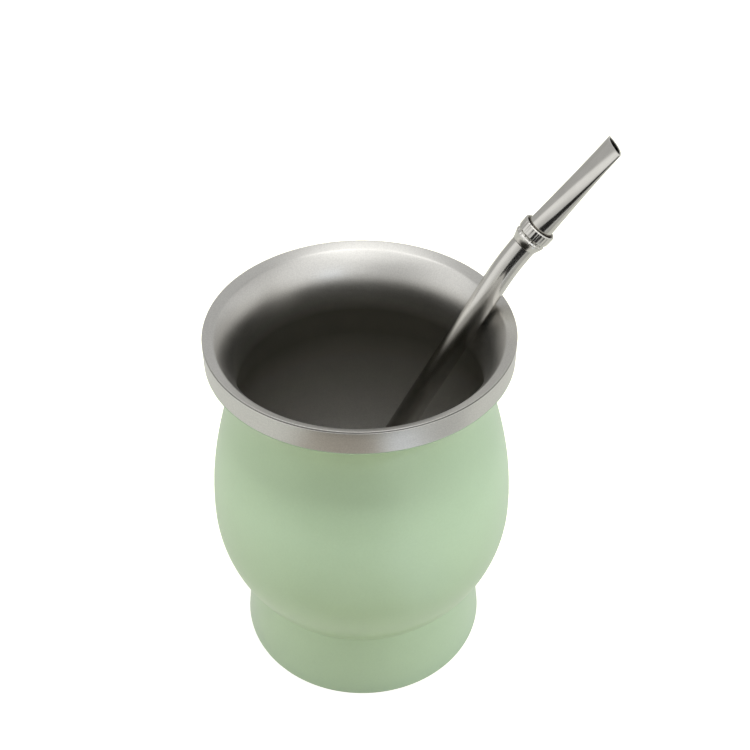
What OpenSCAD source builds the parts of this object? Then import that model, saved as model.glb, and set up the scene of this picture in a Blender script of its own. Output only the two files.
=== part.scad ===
// Mate cup with its drinking tube: a double-walled steel cup with a painted belly and
// foot, and a bent steel tube that stands in it, leaning on the lip.
// The origin is on the surface that the cup stands on, under the centre of the foot.
// +Z is up. The tube leans towards +X.

/* [Outer shell] */
// Height of the cup, from the surface it stands on to the top of the lip
cup_h = 114; // [105:1:125]
// Outside diameter of the bare band under the lip
band_d = 85.4; // [84:0.2:90]
// Height of the bare band, from the top of the lip
band_h = 7.2; // [4:0.2:9]
// Outside diameter of the neck, where the cup is narrowest above the belly
neck_d = 74; // [73:0.5:78]
// Depth of the neck below the top of the lip
neck_drop = 17; // [16:0.5:20]
// Outside diameter of the belly
belly_d = 88.8; // [87:0.2:94]
// Height of the widest part of the belly
belly_z = 50.7; // [47:0.5:58]
// Outside diameter of the crease between belly and foot
waist_d = 69.8; // [69:0.2:73]
// Height of the crease between belly and foot
waist_z = 23.8; // [20:0.2:26]
// Outside diameter of the foot where it meets the surface, before its edge is rounded
foot_d = 75.2; // [72:0.2:82]
// Radius of the foot's rounded bottom edge
foot_round = 1.4; // [1:0.1:2]
// Width of the flat ring that the foot is turned in to
foot_ring_w = 2.6; // [2:0.1:4]
// Thickness of the outer shell's steel
shell_wall = 0.6; // [0.4:0.1:0.8]

/* [Inner cup] */
// Width of the sloping lip, seen from above
lip_w = 2.8; // [2:0.1:3.4]
// Drop of the lip from its outer edge to its inner crease
lip_drop = 1.5; // [1:0.1:2]
// Diameter of the opening at the neck
bore_d = 69; // [66:0.5:69]
// Depth of the narrowest part of the opening below the top of the lip
bore_drop = 16; // [15:0.5:19]
// Empty space between the two walls at the belly
vacuum_gap = 2.1; // [1.6:0.1:4]
// Height of the inside floor
floor_z = 18; // [12:0.5:24]
// Diameter of the flat part of the floor
floor_d = 40; // [36:1:44]
// Thickness of the inner cup's steel
liner_wall = 0.5; // [0.4:0.1:0.8]

/* [Base plate] */
// Thickness of the base plate
plate_t = 0.6; // [0.4:0.1:1]
// Height of the recess under the foot
recess = 2.4; // [1.5:0.1:5]
// Diameter of the pressed dimple in the middle of the base plate
dimple_d = 28; // [20:1:40]
// Depth of that dimple
dimple = 0.6; // [0.4:0.1:1]

/* [Drinking tube] */
// Outside diameter of the tube
tube_d = 7.1; // [6:0.1:8]
// Wall of the tube
tube_wall = 0.5; // [0.4:0.1:0.7]
// Slope of the tube's straight part above the horizontal, in degrees
lean = 63.2; // [61:0.1:65]
// Direction that the tube leans to, in degrees from +X
heading = 4.1; // [0:0.1:8]
// Place inside the rim where the tube rests, in degrees from +X
rest_at = 17.3; // [12:0.1:22]
// Length of straight tube from where it rests up to the bend
bend_start = 13.1; // [11:0.1:16]
// Angle of the bend, in degrees
bend = 9.7; // [5:0.1:14]
// Radius of the bend, at the tube's middle
bend_r = 84; // [60:1:95]

/* [Collar] */
// Length of the collar
collar_h = 7; // [6:0.5:9]
// Outside diameter of the collar
collar_d = 9.4; // [9:0.1:11]
// Depth of the groove between the collar's two bands
groove = 0.4; // [0.3:0.05:0.6]
// Number of notches cut across the groove
notches = 16; // [12:2:20]
// Width of each notch
notch = 1; // [0.6:0.1:1.2]
// Depth of each notch
notch_depth = 0.3; // [0.15:0.05:0.35]
// Depth that the mouth of the collar opens out over
collar_flare = 1.8; // [1:0.1:2.2]
// Length of the cone at the collar's lower end
collar_cone = 1.4; // [1:0.1:1.6]
// How far the collar reaches down over the end of the bend
collar_lap = 1; // [0.5:0.1:1.5]

/* [Mouthpiece] */
// Length of the mouthpiece above the collar
mouth_len = 28.4; // [22:0.2:36]
// Width of the mouth, from corner to corner
mouth_w = 10.4; // [9:0.1:10.6]
// Thickness of the mouth, at its middle
mouth_t = 3.4; // [2.8:0.1:5]
// Radius of the two corners of the mouth
mouth_corner = 0.35; // [0.3:0.05:0.8]

/* [Strainer] */
// Outside diameter of the strainer
strainer_d = 13; // [11:0.5:14]
// Length of its straight, perforated wall
strainer_len = 14; // [12:0.5:16]
// Wall of the strainer
strainer_wall = 0.6; // [0.5:0.1:0.8]
// Diameter of the perforations
hole_d = 1.4; // [1.2:0.1:1.6]
// Rows of perforations along the wall
hole_rows = 4; // [3:1:4]
// Perforations in each row
hole_count = 8; // [6:2:10]
// Length of the taper from the perforated wall to the sleeve
taper_len = 7; // [6:0.5:8]
// Length of the sleeve that the tube stands in
sleeve_len = 6; // [4:0.5:8]

/* [Fits] */
// Gap between the tube and the rim that it leans on, and between the strainer and the floor
rest_gap = 0.3; // [0.2:0.05:0.5]
// Radial clearance of the sleeve and the collar over the tube
slip = 0.1; // [0.05:0.05:0.15]
// Gap between the ends of the tube and the mouthpiece, inside the collar
butt_gap = 0.2; // [0.1:0.05:0.4]
// How much the tube is drawn in, all round, at its end inside the collar
spigot_step = 0.1; // [0.05:0.05:0.15]

/* [Hidden] */
$fn = 96;

paint = [0.66, 0.75, 0.62];
steel = [0.76, 0.76, 0.75];
polished = [0.82, 0.82, 0.81];

// Points along each arc and each free curve of a turned outline
arc_steps = 12;
curve_steps = 16;

// Turned outlines are lists of [radius, height]
band = [band_d / 2, cup_h - band_h];
neck = [neck_d / 2, cup_h - neck_drop];
belly = [belly_d / 2, belly_z];
waist = [waist_d / 2, waist_z];
foot = [foot_d / 2, 0];

// How far the neck curve leaves the belly and the neck upright, as a share of its height
belly_pull = 0.51;
neck_pull = 0.2;
// The same for the curve from the inner belly down to the flat floor
floor_pull = 0.5;

// The lip is a flange that lies on the top edge of the shell, which is bevelled there
lip_t = liner_wall;
bevel = 0.2;
overhang = 0.1;
lip_r = band[0] - bevel;
flange_in = band[0] - shell_wall - overhang;
crease = [lip_r - lip_w, cup_h - lip_drop];
bore = [bore_d / 2, cup_h - bore_drop];

// The inner cup is widest a little above the widest part of the shell
belly_lift = 1.3;
liner_belly = [belly[0] - shell_wall - vacuum_gap - liner_wall, belly_z + belly_lift];

// The point t of the way along a cubic curve from p to q with handles a and b
function cubic(p, a, b, q, t) =
    pow(1 - t, 3) * p + 3 * pow(1 - t, 2) * t * a + 3 * (1 - t) * t * t * b + pow(t, 3) * q;

function curve(p, a, b, q) = [for (i = [0:curve_steps]) cubic(p, a, b, q, i / curve_steps)];

// The arc that leaves p upright and ends at q: its radius, the angle that it turns through
// and its points
function swell_r(p, q) = (pow(q[0] - p[0], 2) + pow(q[1] - p[1], 2)) / (2 * abs(q[0] - p[0]));

function swell_turn(p, q) = 2 * atan(abs((q[0] - p[0]) / (q[1] - p[1])));

function swell(p, q) =
    let (across = q[0] - p[0], along = q[1] - p[1])
    let (r = swell_r(p, q), turn = swell_turn(p, q))
    [for (i = [0:arc_steps])
        let (a = turn * i / arc_steps)
        [p[0] + sign(across) * r * (1 - cos(a)), p[1] + sign(along) * r * sin(a)]];

function reversed(path) = [for (i = [len(path) - 1:-1:0]) path[i]];

function unit(v) = v / norm(v);

// Normal on the right-hand side of the step from p to q
function side(p, q) = let (d = unit(q - p)) [d[1], -d[0]];

// The path moved sideways by t, with mitred corners; a positive t moves it to its right
function beside(path, t) =
    [for (i = [0:len(path) - 1])
        let (n1 = side(path[max(i - 1, 0)], path[max(i, 1)]))
        let (n2 = side(path[min(i, len(path) - 2)], path[min(i + 1, len(path) - 1)]))
        path[i] + t * (n1 + n2) / (1 + n1 * n2)];

// Drops the first point of a path, which repeats the last of the one before
function rest(path) = [for (i = [1:len(path) - 1]) path[i]];

// Outside of the shell, from the foot's rounded edge up to the band
foot_slope = atan2(foot[0] - waist[0], waist[1]);
foot_arc_r = foot[0] - foot_round * tan(45 + foot_slope / 2);
foot_steps = 6;
shell_outside = concat(
    [[foot_arc_r - foot_ring_w, 0]],
    [for (i = [0:foot_steps])
        let (a = -90 + (90 + foot_slope) * i / foot_steps)
        [foot_arc_r + foot_round * cos(a), foot_round * (1 + sin(a))]],
    reversed(swell(belly, waist)),
    rest(curve(belly, belly + [0, belly_pull * (neck[1] - belly[1])],
               neck - [0, neck_pull * (neck[1] - belly[1])], neck)),
    rest(swell(neck, band)),
    [[band[0], cup_h - lip_t - bevel], [lip_r, cup_h - lip_t]]);

// The band's top edge is square on the inside, so the last point is set apart
shell_inside = beside([for (i = [0:len(shell_outside) - 2]) shell_outside[i]], -shell_wall);

// Wetted side of the inner cup, from the lip down to the middle of the floor
liner_inside = concat(
    [crease],
    rest(reversed(swell(bore, crease))),
    rest(curve(bore, bore - [0, neck_pull * (bore[1] - liner_belly[1])],
               liner_belly + [0, belly_pull * (bore[1] - liner_belly[1])], liner_belly)),
    rest(curve(liner_belly, liner_belly - [0, floor_pull * (liner_belly[1] - floor_z)],
               [floor_d / 2 + floor_pull * (liner_belly[0] - floor_d / 2), floor_z],
               [floor_d / 2, floor_z])),
    [[0, floor_z]]);

// Base plate: a flange on the foot's ring, a step up and a dimple, seen from below
plate_play = 0.2;
plate_slant = 0.8;
plate_foot = [foot_arc_r - plate_play, shell_wall];
plate_step = foot_arc_r - foot_ring_w - plate_play;
plate_under = [
    plate_foot,
    [plate_step, shell_wall],
    [plate_step - plate_slant, shell_wall + recess],
    [dimple_d / 2, shell_wall + recess],
    [dimple_d / 2 - dimple, shell_wall + recess - dimple],
    [0, shell_wall + recess - dimple]];

// The tube rests where the flared mouth of the inner cup is as steep as the tube itself, or
// on the crease of the lip: mouth_turn is the angle there on the arc of the mouth
mouth_r = swell_r(bore, crease);
mouth_turn = min(atan(cos(heading - rest_at) / tan(lean)), swell_turn(bore, crease));
axis = [cos(lean) * cos(heading), cos(lean) * sin(heading), sin(lean)];
along_rim = [-sin(rest_at), cos(rest_at), 0];
outward = [cos(rest_at), sin(rest_at), 0];
upward = [0, 0, 1];
touch = (bore[0] + mouth_r * (1 - cos(mouth_turn))) * outward
      + (bore[1] + mouth_r * sin(mouth_turn)) * upward;
off_wall = unit(cross(axis, along_rim));
rest_point = touch + (tube_d / 2 + rest_gap) * off_wall;

// Distances along the tube from the place where it rests
strainer_at = (floor_z + rest_gap + strainer_d / 2 - rest_point[2]) / sin(lean);
tube_low = strainer_at + strainer_len + taper_len;

// Distance along the collar's axis from the end of the bend to the middle of the collar
joint = collar_h / 2 - collar_lap;

// The sleeve of the strainer and the bore of the collar are the tube's own size plus a slip
sleeve_r = tube_d / 2 + slip;

// The collar's edges, and the height of its groove as a share of its length
collar_edge = 0.3;
collar_rim = 0.2;
groove_share = 0.4;

// The sharpest corner inside the pressed mouthpiece, and the half angle of its two shallow
// arcs where it is still round
least_corner = 0.05;
round_half = 60;
mouth_half = 2 * atan((mouth_t - 2 * mouth_corner) / (mouth_w - 2 * mouth_corner));

// Section of the pressed mouthpiece, half its width a and half its thickness b: two shallow
// arcs that turn through half to each side of the middle, joined by two arcs at the corners.
// inset moves it inwards.
function pressed(a, b, half, inset, steps) =
    let (k = 1 / tan(half / 2))
    let (corner = (b * k - a) / (k - 1))
    let (crown = (b - corner * cos(half)) / (1 - cos(half)))
    let (drop = crown - b, r = crown - inset, c = max(corner - inset, least_corner))
    let (whole = corner - inset > least_corner)
    let (reach = whole ? (crown - corner) * sin(half) : sqrt(pow(r - c, 2) - drop * drop))
    let (turn = whole ? half : atan2(reach, drop))
    [for (s = [1, -1])
        each concat(
            [for (i = [0:steps - 1])
                let (t = turn * (2 * i / steps - 1))
                s * [r * sin(t), r * cos(t) - drop]],
            [for (i = [0:steps - 1])
                let (t = turn + (180 - 2 * turn) * i / steps)
                s * [reach + c * sin(t), c * cos(t)]])];

// The frame of the tube's straight part: the origin is where it rests, Z runs up the tube
// and X is the way that it bends
module on_tube() {
    translate(rest_point)
        rotate([0, 0, heading])
            rotate([0, 90 - lean, 0])
                children();
}

// The frame at the end of the bend, inside the frame of the straight part
module past_bend() {
    translate([bend_r, 0, bend_start])
        rotate([0, bend, 0])
            translate([-bend_r, 0, 0])
                children();
}

module turned_shell() {
    rotate_extrude()
        polygon(concat(
            shell_outside,
            [[band[0] - shell_wall, cup_h - lip_t]],
            reversed(shell_inside)));
}

// The shell is painted up to the band, which is left bare
module outer_shell() {
    widest = max(band[0], belly[0], foot[0]) + shell_wall;
    color(paint)
        intersection() {
            turned_shell();
            cylinder(r = widest, h = band[1]);
        }
    color(steel)
        intersection() {
            turned_shell();
            translate([0, 0, band[1]])
                cylinder(r = widest, h = band_h);
        }
}

module inner_cup() {
    outside = beside(liner_inside, -liner_wall);
    color(steel)
        rotate_extrude()
            polygon(concat(
                [[flange_in, cup_h - lip_t], [lip_r, cup_h - lip_t], [lip_r, cup_h]],
                liner_inside,
                reversed(outside)));
}

module base_plate() {
    color(steel)
        rotate_extrude()
            polygon(concat(plate_under, reversed(beside(plate_under, plate_t))));
}

// Wall of the tube, seen along it
module tube_ring(r) {
    difference() {
        circle(r = r);
        circle(r = r - tube_wall);
    }
}

// Straight, then bent; the end inside the collar is drawn in and starts inside the bend
module tube() {
    inside = 0.3;
    color(polished)
        on_tube() {
            translate([0, 0, tube_low])
                linear_extrude(bend_start - tube_low)
                    tube_ring(tube_d / 2);
            translate([bend_r, 0, bend_start])
                rotate([-90, 0, 0])
                    rotate([0, 0, 180])
                        rotate_extrude(angle = bend)
                            translate([bend_r, 0])
                                tube_ring(tube_d / 2);
            past_bend()
                translate([0, 0, -inside])
                    linear_extrude(inside + joint - butt_gap / 2)
                        tube_ring(tube_d / 2 - spigot_step);
        }
}

module collar() {
    r = collar_d / 2;
    mid = collar_h * groove_share;
    color(polished)
        on_tube() past_bend()
            translate([0, 0, -collar_lap])
                difference() {
                    rotate_extrude()
                        polygon([
                            [sleeve_r, 0],
                            [sleeve_r + collar_edge, 0],
                            [r, collar_cone],
                            [r, mid - groove],
                            [r - groove, mid],
                            [r - groove, mid + groove],
                            [r, mid + 2 * groove],
                            [r, collar_h - collar_edge],
                            [r - collar_edge, collar_h],
                            [r - collar_edge - collar_rim, collar_h],
                            [sleeve_r, collar_h - collar_flare]]);
                    for (i = [0:notches - 1])
                        rotate([0, 0, i * 360 / notches])
                            translate([r, 0, mid + groove / 2])
                                rotate([45, 0, 0])
                                    cube([2 * notch_depth, notch, notch], center = true);
                }
}

module mouthpiece() {
    steps = 8;
    rings = 14;
    around = 4 * steps;
    straight = collar_h / 2 - butt_gap / 2;
    round_r = tube_d / 2;
    // The way along the pressed length, from 0 at the collar to 1 at the mouth; the first
    // ring is the end inside the collar
    way = function(i) max(0, (i - 1) / (rings - 1));
    level = function(i) i == 0 ? 0 : straight + mouth_len * way(i);
    size = function(i, near, far) near + (far - near) * way(i);
    skin = function(inset) [for (i = [0:rings])
        let (a = size(i, round_r, mouth_w / 2))
        let (b = size(i, round_r, mouth_t / 2))
        let (half = size(i, round_half, mouth_half))
        for (p = pressed(a, b, half, inset, steps)) [p[1], p[0], level(i)]];
    points = concat(skin(0), skin(tube_wall));
    inner = (rings + 1) * around;
    walls = [for (i = [0:rings - 1]) for (j = [0:around - 1])
        let (a = i * around + j, b = i * around + (j + 1) % around)
        each [[a, a + around, b + around, b],
              [inner + a, inner + b, inner + b + around, inner + a + around]]];
    ends = [for (j = [0:around - 1])
        let (a = j, b = (j + 1) % around, t = rings * around)
        each [[a, b, inner + b, inner + a],
              [t + a, inner + t + a, inner + t + b, t + b]]];
    color(polished)
        on_tube() past_bend()
            translate([0, 0, joint + butt_gap / 2])
                polyhedron(points, concat(walls, ends), convexity = 4);
}

// Strainer outline from the middle of its round end up to the sleeve, moved in by inset
function strainer_path(inset) = concat(
    [for (i = [0:8]) (strainer_d / 2 - inset) * [sin(i * 90 / 8), -cos(i * 90 / 8)]],
    [[strainer_d / 2 - inset, strainer_len],
     [sleeve_r + strainer_wall - inset, strainer_len + taper_len]]);

module strainer() {
    pitch = strainer_len / hole_rows;
    color(polished)
        on_tube()
            translate([0, 0, strainer_at])
                difference() {
                    rotate_extrude()
                        polygon(concat(
                            strainer_path(0),
                            [[sleeve_r + strainer_wall, strainer_len + taper_len + sleeve_len],
                             [sleeve_r, strainer_len + taper_len + sleeve_len],
                             [sleeve_r, strainer_len + taper_len],
                             [tube_d / 2 - tube_wall, strainer_len + taper_len]],
                            [for (p = reversed(strainer_path(strainer_wall)))
                                if (p[1] < strainer_len + taper_len) p]));
                    for (row = [0:hole_rows - 1])
                        for (i = [0:hole_count - 1])
                            rotate([0, 0, (i + (row % 2) / 2) * 360 / hole_count])
                                translate([0, 0, (row + 0.5) * pitch])
                                    rotate([0, 90, 0])
                                        translate([0, 0, strainer_d / 2 - 2 * strainer_wall])
                                            cylinder(d = hole_d, h = 3 * strainer_wall, $fn = 24);
                }
}

outer_shell();
inner_cup();
base_plate();
tube();
collar();
mouthpiece();
strainer();
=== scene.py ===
"""A double-walled steel mate cup and its bent drinking tube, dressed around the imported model."""

from functools import reduce
from math import atan, atan2, cos, hypot, pi, radians, sin, sqrt, tan

import bpy
from bpy.props import FloatProperty, FloatVectorProperty, IntProperty, PointerProperty
from bpy.types import Operator, Panel, PropertyGroup
from mathutils import Matrix, Vector


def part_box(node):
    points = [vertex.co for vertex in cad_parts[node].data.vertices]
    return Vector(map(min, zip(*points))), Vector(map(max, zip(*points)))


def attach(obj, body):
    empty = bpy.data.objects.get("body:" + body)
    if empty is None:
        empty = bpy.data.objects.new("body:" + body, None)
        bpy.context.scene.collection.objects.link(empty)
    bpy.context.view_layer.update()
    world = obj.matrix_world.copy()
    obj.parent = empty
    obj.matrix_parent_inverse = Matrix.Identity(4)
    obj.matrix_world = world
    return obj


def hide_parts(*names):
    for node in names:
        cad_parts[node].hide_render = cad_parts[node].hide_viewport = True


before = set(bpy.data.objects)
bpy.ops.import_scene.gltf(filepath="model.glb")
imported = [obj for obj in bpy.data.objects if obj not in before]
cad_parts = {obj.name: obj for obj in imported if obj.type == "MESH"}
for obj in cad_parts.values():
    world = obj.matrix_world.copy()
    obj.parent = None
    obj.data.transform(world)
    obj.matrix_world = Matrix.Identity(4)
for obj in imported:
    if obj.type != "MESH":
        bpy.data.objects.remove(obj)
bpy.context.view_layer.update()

bl_info = {
    "name": "Mate Cup",
    "version": (1, 0, 0),
    "blender": (4, 5, 0),
    "location": "View3D > Sidebar > Mate Cup",
    "description": "Builds a double-walled steel mate cup with a drinking tube",
    "category": "Add Mesh",
}

CUP_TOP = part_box("inner_cup")[1].z
LIP_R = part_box("inner_cup")[1].x
BELLY_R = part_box("outer_shell")[1].x
MM = 0.001

# How near two points are merged, the sides of a drilled hole, the sharpest edge that is shaded
# smooth, and how narrow a notch is beside its pitch, as a power of the cosine
SAME_PLACE = 0.001 * MM
HOLE_SIDES = 24
CRISP_EDGE = radians(35)
NOTCH_NARROWING = 6.0

# Handles of the long curves as shares of their height, the lift of the inner belly, the slope
# at the edge of the lip, and the gap between two pieces that are butted or seated
BELLY_PULL, NECK_PULL, FLOOR_PULL = 0.51, 0.2, 0.5
BELLY_LIFT = 1.3 * MM
LIP_BEVEL = 0.2 * MM
SEAT_GAP = 0.1 * MM

# How much of each side a rounding takes: at the waist, at the band's foot and top, in the seam,
# at the lip's outer and inner edges, and at the bends of the base plate and of its dimple
WAIST_SOFT, FOOT_SOFT, TOP_SOFT, SEAM_SOFT = 0.45 * MM, 0.1 * MM, 0.12 * MM, 0.05 * MM
LIP_SOFT, MOUTH_SOFT, PLATE_SOFT, DIMPLE_SOFT = 0.27 * MM, 0.45 * MM, 0.4 * MM, 0.3 * MM
PLATE_SLOPE = 0.8 * MM

# How much slimmer the collar's lower band is than its upper one, the rounding of its edges, the
# bevel and the flat land at its top, and the length over which its flutes fade in
COLLAR_STEP = 0.2 * MM
COLLAR_SOFT = 0.12 * MM
BEVEL_H, BEVEL_W, LAND = 0.25 * MM, 0.2 * MM, 0.25 * MM
FLUTE_FADE = 1.2 * MM

# Half the turn of each crown of the mouthpiece where it leaves the round tube, its least corner
# and the rounding of its edge
ROUND_HALF = radians(60)
LEAST_CORNER = 0.05 * MM
MOUTH_EDGE = 0.16 * MM

# Faces around the strainer, and the length of a drill beside the strainer's radius
STRAINER_SIDES = 72
DRILL_REACH = 1.5

# The steel inside this radius is the lining's. Going down, it turns rougher and takes on a painted
# shade between the first two heights, the painted shade fades out between the next two, and the
# steel turns rougher still between the last two.
LINING_R = 43.5 * MM
ROUGH_SHADE_FROM, ROUGH_SHADE_FULL = 105 * MM, 94 * MM
SHADE_UNTIL, SHADE_GONE = 84 * MM, 40 * MM
MATT_FROM, MATT_FULL = 70 * MM, 22 * MM


# Sizes and finishes that a user can change


def length(name, mm, description):
    """A length, given in millimetres and kept in metres."""
    return FloatProperty(
        name=name, description=description, default=mm * MM, min=0.0, unit="LENGTH", precision=5)


def angle(name, deg, description):
    return FloatProperty(
        name=name, description=description, default=radians(deg), unit="ROTATION")


def share(name, value, description):
    return FloatProperty(
        name=name, description=description, default=value, min=0.0, max=1.0, subtype="FACTOR")


def colour(name, rgb, description):
    return FloatVectorProperty(
        name=name, description=description, default=rgb, min=0.0, max=1.0, size=3, subtype="COLOR")


def count(name, number, description):
    return IntProperty(name=name, description=description, default=number, min=1)


class MateCupSizes(PropertyGroup):
    """Sizes of the turned cup"""

    height: length("Height", CUP_TOP / MM, "From the surface it stands on to the top of the lip")
    band_r: length("Band radius", LIP_R / MM + 0.2, "Outside radius of the bare band")
    band_h: length("Band height", 7.2, "Height of the bare band, from the top of the lip")
    neck_r: length("Neck radius", 37.0, "Outside radius at the neck")
    neck_drop: length("Neck depth", 17.0, "Depth of the neck below the lip")
    belly_r: length("Belly radius", BELLY_R / MM, "Outside radius of the belly")
    belly_z: length("Belly height", 50.7, "Height of the widest part")
    waist_r: length("Waist radius", 34.9, "Outside radius of the crease above the foot")
    waist_z: length("Waist height", 23.8, "Height of that crease")
    foot_r: length("Foot radius", 37.6, "Outside radius of the foot")
    foot_round: length("Foot rounding", 1.4, "Radius of the foot's bottom edge")
    foot_ring: length("Foot ring", 2.6, "Width of the flat ring under the foot")
    shell_wall: length("Shell wall", 0.6, "Thickness of the outer shell")
    paint_gap: length("Paint edge", 0.14, "Depth of the fine groove where the paint ends")
    lip_w: length("Lip width", 2.8, "Width of the sloping lip")
    lip_drop: length("Lip drop", 1.5, "Drop of the lip towards the inside")
    seam: length("Lip seam", 0.3, "Depth of the seam where the lip meets the band")
    bore_r: length("Bore radius", 34.5, "Radius of the opening at the neck")
    bore_drop: length("Bore depth", 16.0, "Depth of the narrowest part of the opening")
    hollow: length("Hollow", 2.1, "Space between the walls at the belly")
    floor_z: length("Floor height", 18.0, "Height of the inside floor")
    floor_r: length("Floor radius", 20.0, "Radius of the flat floor")
    lining_wall: length("Lining wall", 0.5, "Thickness of the inner cup")
    plate_t: length("Plate thickness", 0.6, "Thickness of the base plate")
    plate_rise: length("Plate recess", 2.4, "Height of the recess under the foot")
    dimple_r: length("Dimple radius", 14.0, "Radius of the pressed dimple")
    dimple: length("Dimple depth", 0.6, "Depth of the pressed dimple")
    around: count("Segments", 192, "Faces around the cup")


class DrinkingTubeSizes(PropertyGroup):
    """Sizes of the drinking tube"""

    lean: angle("Lean", 63.2, "Slope of the straight part above the horizontal")
    heading: angle("Heading", 4.1, "Direction that the tube leans to")
    rest_at: angle("Rest", 17.3, "Place inside the rim where the tube rests")
    rest_gap: length("Rest gap", 0.3, "Gap between the tube and what it rests on")
    tube_r: length("Tube radius", 3.55, "Outside radius of the tube")
    tube_wall: length("Tube wall", 0.5, "Wall of the tube")
    bend_start: length("Bend start", 13.1, "Straight length from the rim to the bend")
    bend: angle("Bend", 9.7, "Angle of the bend")
    bend_r: length("Bend radius", 84.0, "Radius of the bend")
    slip: length("Slip", 0.1, "Clearance of the collar and the sleeve")
    collar_h: length("Collar length", 7.0, "Length of the collar")
    collar_r: length("Collar radius", 4.7, "Outside radius of the collar")
    collar_lap: length("Collar lap", 1.0, "How far the collar reaches over the bend")
    collar_cone: length("Collar cone", 1.4, "Length of the cone at the collar's lower end")
    collar_flare: length("Collar flare", 1.8, "Depth that the collar's mouth opens out over")
    collar_trim: length("Collar trim", 0.5, "How far the rounded mouth stays below full length")
    groove: length("Groove", 0.4, "Depth of the groove between the two bands")
    notches: count("Notches", 16, "Notches in the groove")
    notch: length("Notch depth", 0.2, "Depth of the notches")
    flutes: count("Flutes", 27, "Flutes on the upper band")
    flute: length("Flute depth", 0.05, "Depth of the flutes")
    mouth_len: length("Mouthpiece length", 28.4, "Length of the pressed mouthpiece")
    mouth_half_w: length("Mouth half width", 5.2, "Half the width of the mouth")
    mouth_half_t: length("Mouth half thickness", 1.7, "Half the thickness of the mouth")
    mouth_corner: length("Mouth corner", 0.35, "Radius of the mouth's two corners")
    strainer_r: length("Strainer radius", 6.5, "Outside radius of the strainer")
    strainer_len: length("Strainer length", 14.0, "Length of the perforated wall")
    strainer_wall: length("Strainer wall", 0.6, "Wall of the strainer")
    taper_len: length("Taper length", 7.0, "Length of the strainer's taper")
    sleeve_len: length("Sleeve length", 6.0, "Length of the strainer's sleeve")
    hole_r: length("Hole radius", 0.7, "Radius of the perforations")
    hole_rows: count("Hole rows", 4, "Rows of perforations")
    hole_count: count("Holes in a row", 8, "Perforations in each row")
    around: count("Segments", 96, "Faces around the tube")


class MateCupFinishes(PropertyGroup):
    """Colours and gloss of the materials"""

    paint_light: colour("Light paint", (0.455, 0.600, 0.430), "Lighter shade of the powder coat")
    paint_deep: colour("Deep paint", (0.425, 0.565, 0.400), "Deeper shade of the powder coat")
    paint_rough: share("Paint roughness", 0.30, "Roughness of the powder coat")
    steel_light: colour("Light steel", (0.70, 0.69, 0.665), "Lighter shade of the satin steel")
    steel_deep: colour("Deep steel", (0.62, 0.61, 0.59), "Deeper shade of the satin steel")
    # Painted shade: this dark colour is mixed into the lining's steel down inside the cup, in
    # place of the shade that falls there.
    inside_painted_shade: colour("Steel inside", (0.185, 0.178, 0.147), "Matt steel down inside the cup")
    satin_rough: share("Satin roughness", 0.30, "Roughness of the satin steel")
    inside_rough: share("Inside roughness", 0.18, "Roughness added down inside the cup")
    bottom_rough: share("Bottom roughness", 0.30, "Roughness added at the bottom of the cup")
    polish_light: colour("Light polish", (0.67, 0.655, 0.625), "Lighter shade of the polish")
    polish_deep: colour("Deep polish", (0.61, 0.595, 0.565), "Deeper shade of the polish")
    polish_rough: share("Polish roughness", 0.14, "Roughness of the polished steel")


class MateCupStage(PropertyGroup):
    """Camera, floor and lights"""

    floor_colour: colour("Floor", (0.36, 0.36, 0.24), "Colour of the floor")
    ambient: share("Ambient", 0.62, "Strength of the light from all round")
    overhead: FloatProperty(
        name="Overhead lamp", description="Power of the large lamp overhead", default=10.0,
        unit="POWER")
    side: FloatProperty(
        name="Side lamps", description="Power that the lamps at the sides share out",
        default=0.8, unit="POWER")
    lens: FloatProperty(
        name="Lens", description="Focal length of the camera", default=57.1, unit="CAMERA")


# Nodes


def place(tree, kind, sockets=(), **settings):
    """Adds a node, gives it its settings, and fills or links its inputs."""
    node = tree.nodes.new(kind)
    for name, value in settings.items():
        setattr(node, name, value)
    for key, value in dict(sockets).items():
        if isinstance(value, bpy.types.NodeSocket):
            tree.links.new(value, node.inputs[key])
        else:
            node.inputs[key].default_value = value
    return node


def reckon(tree, operation, *values):
    """The result of a Math node."""
    return place(tree, "ShaderNodeMath", enumerate(values), operation=operation).outputs[0]


def plus(tree, one, *others):
    """The sum of the values."""
    return reduce(lambda a, b: reckon(tree, "ADD", a, b), others, one)


def times(tree, one, *others):
    """The product of the values."""
    return reduce(lambda a, b: reckon(tree, "MULTIPLY", a, b), others, one)


def apart(tree, vector):
    return place(tree, "ShaderNodeSeparateXYZ", {0: vector}).outputs


def together(tree, x, y, z):
    return place(tree, "ShaderNodeCombineXYZ", {0: x, 1: y, 2: z}).outputs[0]


def new_tree(name, *inputs):
    """A geometry tree and its inputs, each given as its name and kind."""
    tree = bpy.data.node_groups.new(name, "GeometryNodeTree")
    tree.interface.new_socket("Geometry", in_out="OUTPUT", socket_type="NodeSocketGeometry")
    for label, kind in (*inputs, ("Material", "Material")):
        tree.interface.new_socket(label, in_out="INPUT", socket_type="NodeSocket" + kind)
    return tree, place(tree, "NodeGroupInput").outputs


def close_tree(tree, shape, material):
    """Ends a geometry tree with its instances made real and its material set."""
    real = place(tree, "GeometryNodeRealizeInstances", {0: shape})
    dressed = place(tree, "GeometryNodeSetMaterial",
                    {"Geometry": real.outputs[0], "Material": material})
    place(tree, "NodeGroupOutput", {0: dressed.outputs[0]})
    return tree


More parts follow.
